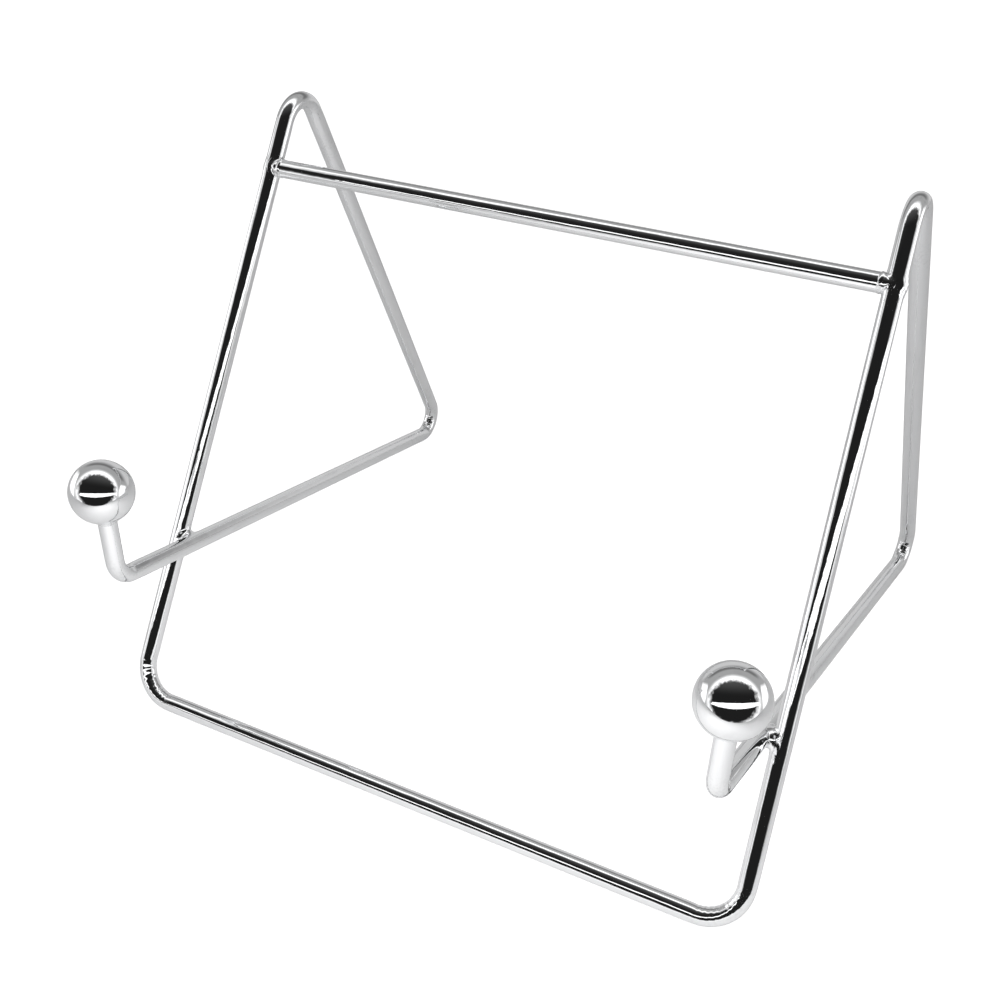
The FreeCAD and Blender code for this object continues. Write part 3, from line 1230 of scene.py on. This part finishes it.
@dataclass
class WeldBead:
    """Weld metal that has run into the corner between two rods."""

    name: str
    node: str
    centre: Vector
    rods: tuple[Rod, Rod]
    shape: BeadShape
    core: float
    fillet: float
    reach: float
    seed: float
    fineness: int = 6
    sink: float = 0.02 * MM
    lump: float = 0.05 * MM
    ring_radius: float = 0.0
    ring_at: Vector = field(default_factory=Vector)

    def build(self, finish: bpy.types.Material) -> bpy.types.Object:
        """Grow the bead from a ball out to where its metal ends.

        Args:
            finish: the material of plated weld metal.

        Returns:
            The finished piece.
        """
        mesh = bmesh.new()
        bmesh.ops.create_icosphere(mesh, subdivisions=self.fineness, radius=1.0)
        ways = np.array([vert.co.normalized() for vert in mesh.verts])
        near = np.zeros(len(ways))
        far = np.full(len(ways), self.reach)
        middle = np.array(self.centre)
        for _ in range(HALVINGS):
            half = (near + far) / 2
            inside = self._depth(middle + ways * half[:, None]) < 0
            near = np.where(inside, half, near)
            far = np.where(inside, far, half)
        for vert, way, length in zip(mesh.verts, ways, near):
            vert.co = self.centre + Vector(way) * float(length)
        return PieceMaker(self.name, self.node, Slot.WELD, finish).make(mesh)

    def _depth(self, points: np.ndarray) -> np.ndarray:
        """How far points lie outside the joined metal, negative inside.

        Args:
            points: one point to a row.

        Returns:
            One number for each point.
        """
        if self.shape is BeadShape.BALL:
            core = np.linalg.norm(points - np.array(self.centre), axis=1) - self.core
        else:
            offset = points - np.array(self.ring_at)
            off_axis = np.hypot(offset[:, 1], offset[:, 2]) - self.ring_radius
            core = np.hypot(off_axis, offset[:, 0]) - self.core
        core = core + self._lumps(points)
        joined = self.rods[0].clearance(points)
        for other in (self.rods[1].clearance(points), core):
            gap = np.maximum(self.fillet - np.abs(joined - other), 0) / self.fillet
            joined = np.minimum(joined, other) - gap ** 2 * self.fillet / 4
        return joined + self.sink

    def _lumps(self, points: np.ndarray) -> np.ndarray:
        """Work out the unevenness of the bead's surface from three crossing waves.

        Args:
            points: one point to a row.

        Returns:
            One height for each point.
        """
        local = (points - np.array(self.centre)) / MM
        wave = np.zeros(len(points))
        for count, (way, share) in enumerate(LUMP_WAVES, start=1):
            wave = wave + share * np.sin(local @ np.array(way) + self.seed * count)
        return wave * self.lump / 2


@dataclass
class Welds:
    """The four beads that join the cross bar and the arms to the front legs."""

    route: WireRoute
    bar_core: float = 0.5 * MM
    bar_fillet: float = 0.45 * MM
    bar_reach: float = 4.6 * MM
    ring_sink: float = 0.3 * MM
    ring_inset: float = 0.8 * MM
    arm_core: float = 1.9 * MM
    arm_fillet: float = 2.7 * MM
    arm_reach: float = 6.2 * MM

    def build(self, finish: bpy.types.Material) -> list[bpy.types.Object]:
        """Lay all the beads.

        Args:
            finish: the material of plated weld metal.

        Returns:
            The finished pieces.
        """
        made = []
        for side in Side:
            made.append(self._bar_bead(side).build(finish))
            made.append(self._arm_bead(side).build(finish))
        return made

    def _bar_bead(self, side: Side) -> WeldBead:
        """Describe the bead round the cross bar's end on one side.

        Args:
            side: which half.

        Returns:
            The bead, not yet built.
        """
        radius = self.route.sizes.wire_radius
        joint = self.route.bar_point(side)
        inwards = X_AXIS * -side.value
        return WeldBead(
            name=f"bar_weld_bead_{side.word}",
            node=f"cross_bar_weld_{side.word}",
            centre=joint + inwards * radius,
            rods=(Rod(joint, self.route.leg_way(side), radius), Rod(joint, X_AXIS, radius)),
            shape=BeadShape.RING,
            core=self.bar_core,
            fillet=self.bar_fillet,
            reach=self.bar_reach,
            seed=1.3 + side.value,
            ring_radius=radius - self.ring_sink,
            ring_at=joint + inwards * (radius + self.ring_inset),
        )

    def _arm_bead(self, side: Side) -> WeldBead:
        """Describe the bead between an arm and its leg on one side.

        Args:
            side: which half.

        Returns:
            The bead, not yet built.
        """
        radius = self.route.sizes.wire_radius
        on_leg, on_arm = self.route.arm_contact(side)
        return WeldBead(
            name=f"arm_weld_bead_{side.word}",
            node=f"arm_weld_{side.word}",
            centre=(on_leg + on_arm) / 2,
            rods=(
                Rod(on_leg, self.route.leg_way(side), radius),
                Rod(on_arm, self.route.arm_way(side), radius),
            ),
            shape=BeadShape.BALL,
            core=self.arm_core,
            fillet=self.arm_fillet,
            reach=self.arm_reach,
            seed=4.1 + side.value * 2,
        )


# ---- the studio ------------------------------------------------------------------------------


def level_way(azimuth: float) -> Vector:
    """The level direction out from the stand at an azimuth."""
    turn = math.radians(azimuth)
    return Vector((math.sin(turn), -math.cos(turn), 0))


@dataclass(frozen=True)
class TentWall:
    """The round tent's size, and how bright its wall is at each place.

    The wall is laid out as a mirror ball would show it, on a disc that is 1 in radius: its middle
    looks straight out of the tent's opening, and its rim looks the opposite way. The opening is
    an oval with the half width and half height of opening_size, and opening_edge is in shares of
    it. Every other pair of numbers is where a soft edge begins and ends on the disc.
    """

    middle: Triple = (0.0, 0.0, 0.09)
    radius: float = 0.91
    white: float = 1.5
    opening_azimuth: float = 19.9
    opening_elevation: float = 36.3
    opening_size: Pair = (0.54, 0.48)
    opening_edge: Pair = (0.88, 1.12)
    opening_depth: float = 0.992
    opening_dark: float = 0.002
    opening_glow: float = 0.08
    glow_foot: Pair = (0.1, 0.55)
    crumple: float = 0.3
    crumple_scale: float = 7.0
    wall_grey: float = 0.39
    wall_rim: Pair = (0.53, 0.65)
    wall_foot: Pair = (-0.34, -0.22)
    panel_inner: Pair = (0.60, 0.65)
    panel_outer: Pair = (0.76, 0.84)
    panel_foot: Pair = (-0.4, -0.3)
    panel_head: Pair = (0.22, 0.42)
    valance_inner: Pair = (0.74, 0.79)
    valance_outer: Pair = (0.80, 0.86)
    valance_foot: Pair = (0.42, 0.6)
    valance_shade: float = 0.55
    top_rim: Pair = (0.84, 0.9)
    top_foot: Pair = (0.2, 0.5)
    top_light: float = 0.22
    floor_head: Pair = (-0.62, -0.5)
    floor_light: float = 0.5

    def brightness(self, graph: Graph) -> Signal:
        """Work out how bright the wall is at each place.

        Args:
            graph: the tent's nodes.

        Returns:
            The brightness.
        """
        place = graph.node("ShaderNodeTexCoord").outputs["Object"]
        across, above = self._on_disc(graph, place)
        aside = abs(across)
        rim = (across * across + above * above) ** 0.5
        wall = rim.rise(*self.wall_rim) * above.rise(*self.wall_foot)
        panel = aside.rise(*self.panel_inner) * aside.fall(*self.panel_outer)
        panel = panel * above.rise(*self.panel_foot) * above.fall(*self.panel_head)
        valance = rim.rise(*self.valance_inner) * rim.fall(*self.valance_outer)
        valance = valance * above.rise(*self.valance_foot)
        top = rim.rise(*self.top_rim) * above.rise(*self.top_foot)
        below = above.fall(*self.floor_head)
        light = self.white - wall * (self.white - self.wall_grey) + top * self.top_light
        light = light.most(panel * self.white) * (1 - valance * self.valance_shade)
        light = light * (1 - below) + below * self.floor_light
        dark = self._opening(graph, place, across, above)
        in_opening = self.opening_dark + above.rise(*self.glow_foot) * self.opening_glow
        return light * (1 - dark * self.opening_depth) + dark * in_opening

    def _on_disc(self, graph: Graph, place: Socket) -> tuple[Signal, Signal]:
        """Find a place of the wall on the mirror ball's disc.

        Args:
            graph: the tent's nodes.
            place: the place in the scene.

        Returns:
            How far to the right, and how far up, the place is from the disc's middle.
        """
        level = level_way(self.opening_azimuth)
        lift = math.radians(self.opening_elevation)
        out = level * math.cos(lift) + Z_AXIS * math.sin(lift)
        up = Z_AXIS * math.cos(lift) - level * math.sin(lift)
        offset = tuple(out * self.radius - Vector(self.middle))
        halfway = graph.vector_math("ADD", place, offset).outputs[0]
        facing = graph.vector_math("NORMALIZE", halfway).outputs[0]
        return graph.dot(facing, level_way(self.opening_azimuth + 90)), graph.dot(facing, up)

    def _opening(self, graph: Graph, place: Socket, across: Signal, above: Signal) -> Signal:
        """Cut the dark opening, an oval with a crumpled edge.

        Args:
            graph: the tent's nodes.
            place: the place in the scene.
            across: how far to the right the place is on the disc.
            above: how far up it is there.

        Returns:
            1 inside the opening and 0 outside it.
        """
        wide, high = self.opening_size
        oval = (across * across / wide ** 2 + above * above / high ** 2) ** 0.5
        crumpled = (graph.noise(place, self.crumple_scale, 5.0) - 0.5) * self.crumple
        return (oval + crumpled).fall(*self.opening_edge)


@dataclass
class Studio:
    """The camera, a round white light tent with a lip across its opening, a lamp and a table."""

    azimuth: float = 27.39
    elevation: float = 34.02
    camera_at: Triple = (0.15536, -0.33245, 0.30603)
    lens: float = 45.48
    sensor: float = 36.0
    shift: Pair = (0.0008, 0.0020)
    clip: Pair = (0.01, 20.0)
    backdrop: float = 1.1
    wall: TentWall = TentWall()
    lip_ahead: float = 0.39
    lip_up: float = 0.236
    lip_height: float = 0.092
    lip_length: float = 1.6
    lamp_power: float = 0.66
    lamp_size: float = 0.3
    lamp_azimuth: float = 12.0
    lamp_ahead: float = 0.27
    lamp_up: float = 0.22
    table_front: float = 0.40
    table_radius: float = 0.85
    table_glow: float = 0.75
    table_white: float = 0.92
    table_roughness: float = 0.9

    def build(self) -> None:
        """Set up the camera and everything round the stand."""
        self._camera()
        self._backdrop()
        self._tent()
        self._lip()
        self._lamp()
        self._table()
        bpy.context.scene.view_settings.view_transform = "Standard"

    def _camera(self) -> None:
        """Place the camera."""
        data = bpy.data.cameras.new("camera")
        data.lens = self.lens
        data.sensor_width = self.sensor
        data.shift_x, data.shift_y = self.shift
        data.clip_start, data.clip_end = self.clip
        camera = bpy.data.objects.new("camera", data)
        camera.location = self.camera_at
        camera.rotation_euler = (math.radians(90 - self.elevation), 0, math.radians(self.azimuth))
        bpy.context.scene.collection.objects.link(camera)
        bpy.context.scene.camera = camera

    def _backdrop(self) -> None:
        """Give the camera a plain white backdrop that lights nothing."""
        world = bpy.data.worlds.new("backdrop")
        world.use_nodes = True
        bpy.context.scene.world = world
        graph = Graph(world.node_tree)
        seen = Signal(graph, graph.node("ShaderNodeLightPath").outputs["Is Camera Ray"])
        inputs = {"Color": WHITE, "Strength": seen * self.backdrop}
        shader = graph.node("ShaderNodeBackground", {}, inputs)
        graph.node("ShaderNodeOutputWorld", {}, {"Surface": shader.outputs[0]})

    def _tent(self) -> None:
        """Put the round tent over the stand."""
        mesh = bmesh.new()
        bmesh.ops.create_icosphere(
            mesh, subdivisions=5, radius=self.wall.radius,
            matrix=Matrix.Translation(self.wall.middle)
        )
        for face in mesh.faces:
            face.smooth = True
        material, graph = new_material("light_tent")
        self._glow("light_tent", mesh, material, graph, self.wall.brightness(graph))

    def _lip(self) -> None:
        """Hang the tent's white lip across the opening, just under the camera."""
        mesh = bmesh.new()
        bmesh.ops.create_grid(mesh, x_segments=24, y_segments=1, size=0.5)
        bmesh.ops.scale(mesh, vec=(self.lip_length, self.lip_height, 1), verts=mesh.verts[:])
        upright = Matrix.Rotation(math.pi / 2, 4, "X")
        turned = Matrix.Rotation(math.radians(self.azimuth), 4, "Z")
        middle = level_way(self.azimuth) * self.lip_ahead + Z_AXIS * self.lip_up
        in_place = Matrix.Translation(middle) @ turned @ upright
        bmesh.ops.transform(mesh, matrix=in_place, verts=mesh.verts[:])
        material, graph = new_material("tent_lip")
        self._glow("tent_lip", mesh, material, graph, self.wall.white)

    @staticmethod
    def _glow(
            name: str,
            mesh: bmesh.types.BMesh,
            material: bpy.types.Material,
            graph: Graph,
            strength: Signal | float,
    ) -> None:
        """Make a lit surface of the tent that the camera looks straight through.

        Args:
            name: the object's name.
            mesh: its shape; it is freed.
            material: its material.
            graph: the material's nodes.
            strength: how bright it is.
        """
        inputs = {"Color": WHITE, "Strength": strength}
        graph.show(graph.node("ShaderNodeEmission", {}, inputs))
        material.cycles.emission_sampling = "NONE"
        lit = new_object(name, mesh, material)
        lit.visible_camera = False
        lit.visible_shadow = False

    def _lamp(self) -> None:
        """Hang a soft lamp above the front of the table, out of the chrome's sight."""
        data = bpy.data.lights.new("soft_lamp", "AREA")
        data.shape = "SQUARE"
        data.size = self.lamp_size
        data.energy = self.lamp_power
        lamp = bpy.data.objects.new("soft_lamp", data)
        lamp.location = level_way(self.lamp_azimuth) * self.lamp_ahead + Z_AXIS * self.lamp_up
        lamp.visible_glossy = False
        lamp.visible_camera = False
        bpy.context.scene.collection.objects.link(lamp)

    def _table(self) -> None:
        """Lay the round pale table top, cut off straight in front where the dark opening begins."""
        mesh = bmesh.new()
        bmesh.ops.create_circle(mesh, cap_ends=True, segments=96, radius=self.table_radius)
        bmesh.ops.bisect_plane(
            mesh,
            geom=mesh.verts[:] + mesh.edges[:] + mesh.faces[:],
            plane_co=level_way(self.azimuth) * self.table_front,
            plane_no=level_way(self.azimuth),
            clear_outer=True,
        )
        material, graph = new_material("pale_table")
        grey = self.table_white
        inputs = {
            "Base Color": (grey, grey, grey, 1.0),
            "Roughness": self.table_roughness,
            "Specular IOR Level": 0.0,
        }
        matt = graph.node("ShaderNodeBsdfPrincipled", {}, inputs).outputs[0]
        inputs = {"Color": WHITE, "Strength": self.table_glow}
        glow = graph.node("ShaderNodeEmission", {}, inputs).outputs[0]
        lit = graph.node("ShaderNodeAddShader", {}, {0: matt, 1: glow}).outputs[0]
        seen = graph.node("ShaderNodeLightPath").outputs["Is Camera Ray"]
        graph.show(graph.node("ShaderNodeMixShader", {}, {0: seen, 1: matt, 2: lit}))
        new_object("table_top", mesh, material)


# ---- everything together ---------------------------------------------------------------------


def main() -> None:
    """Build the studio and every piece of the stand."""
    logging.basicConfig(level=logging.INFO, format="%(message)s")
    Studio().build()
    route = WireRoute(StandSizes())
    wire_finish = DrawnWirePlate().material()
    ball_finish = PolishedBallPlate().material()
    weld_finish = WeldPlate().material()
    BentWire(route).build(wire_finish)
    CrossBar(route).build(wire_finish)
    for side in Side:
        Ball(route, side).build(ball_finish)
        BallBraze(route, side).build(weld_finish)
    Welds(route).build(weld_finish)


if __name__ == "__main__":
    main()
